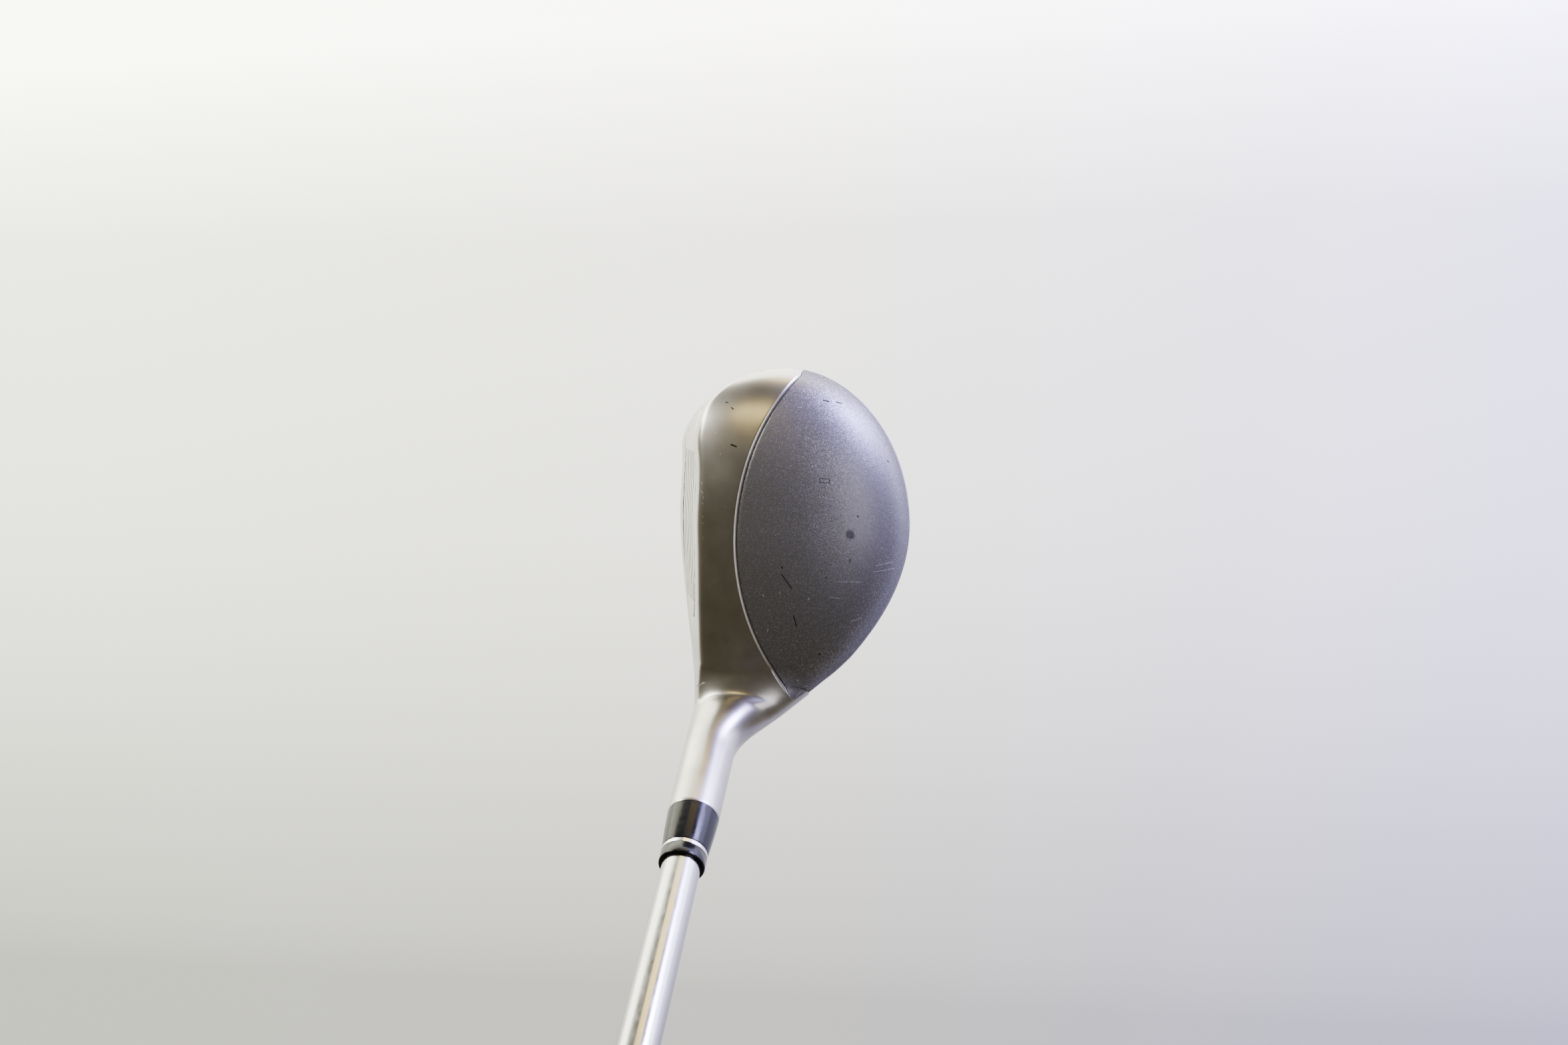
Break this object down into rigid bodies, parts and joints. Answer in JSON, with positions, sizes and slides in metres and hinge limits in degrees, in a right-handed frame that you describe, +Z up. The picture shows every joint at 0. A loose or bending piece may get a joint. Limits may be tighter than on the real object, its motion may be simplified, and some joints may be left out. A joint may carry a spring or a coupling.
{
  "type": "hybrid golf club",
  "caption": "Right-handed hybrid golf club with a hollow steel head, painted crown, stepped steel shaft, ferrule and rubber grip.",
  "frame": {"origin": "the point of the sole that touches the ground when the club stands at address", "axes": "+Z up, +X from toe to heel towards the golfer, the face looks towards -Y; the shaft axis leans 60 degrees above +X"},
  "size_m": [0.5863, 0.0649, 0.8744],
  "materials": {
    "head_steel": "satin, bead-blasted stainless casting",
    "face_steel": "satin, ground and blasted",
    "crown_paint": "metallic grey lacquer with fine flake",
    "weight_metal": "sintered, unpolished",
    "hot_melt": "cured hot melt",
    "shaft_chrome": "satin chrome plate",
    "plug_brass": "turned",
    "epoxy": "cured",
    "ferrule_black": "polished",
    "ring_silver": "polished",
    "tape": "double-sided paper tape",
    "grip_rubber": "moulded, matt",
    "cap_rubber": "moulded, matt"
  },
  "bodies": {
    "root": {"head_body": "head_steel", "face_plate": "face_steel", "crown_plate": "crown_paint", "sole_weight": "weight_metal", "glue_pad": "hot_melt", "shaft": "shaft_chrome", "tip_plug": "plug_brass", "epoxy_bond": "epoxy", "ferrule_body": "ferrule_black", "ferrule_ring": "ring_silver", "ferrule_collar": "ferrule_black", "grip_tape": "tape", "grip_sleeve": "grip_rubber", "grip_cap": "cap_rubber"}
  },
  "joints": []
}
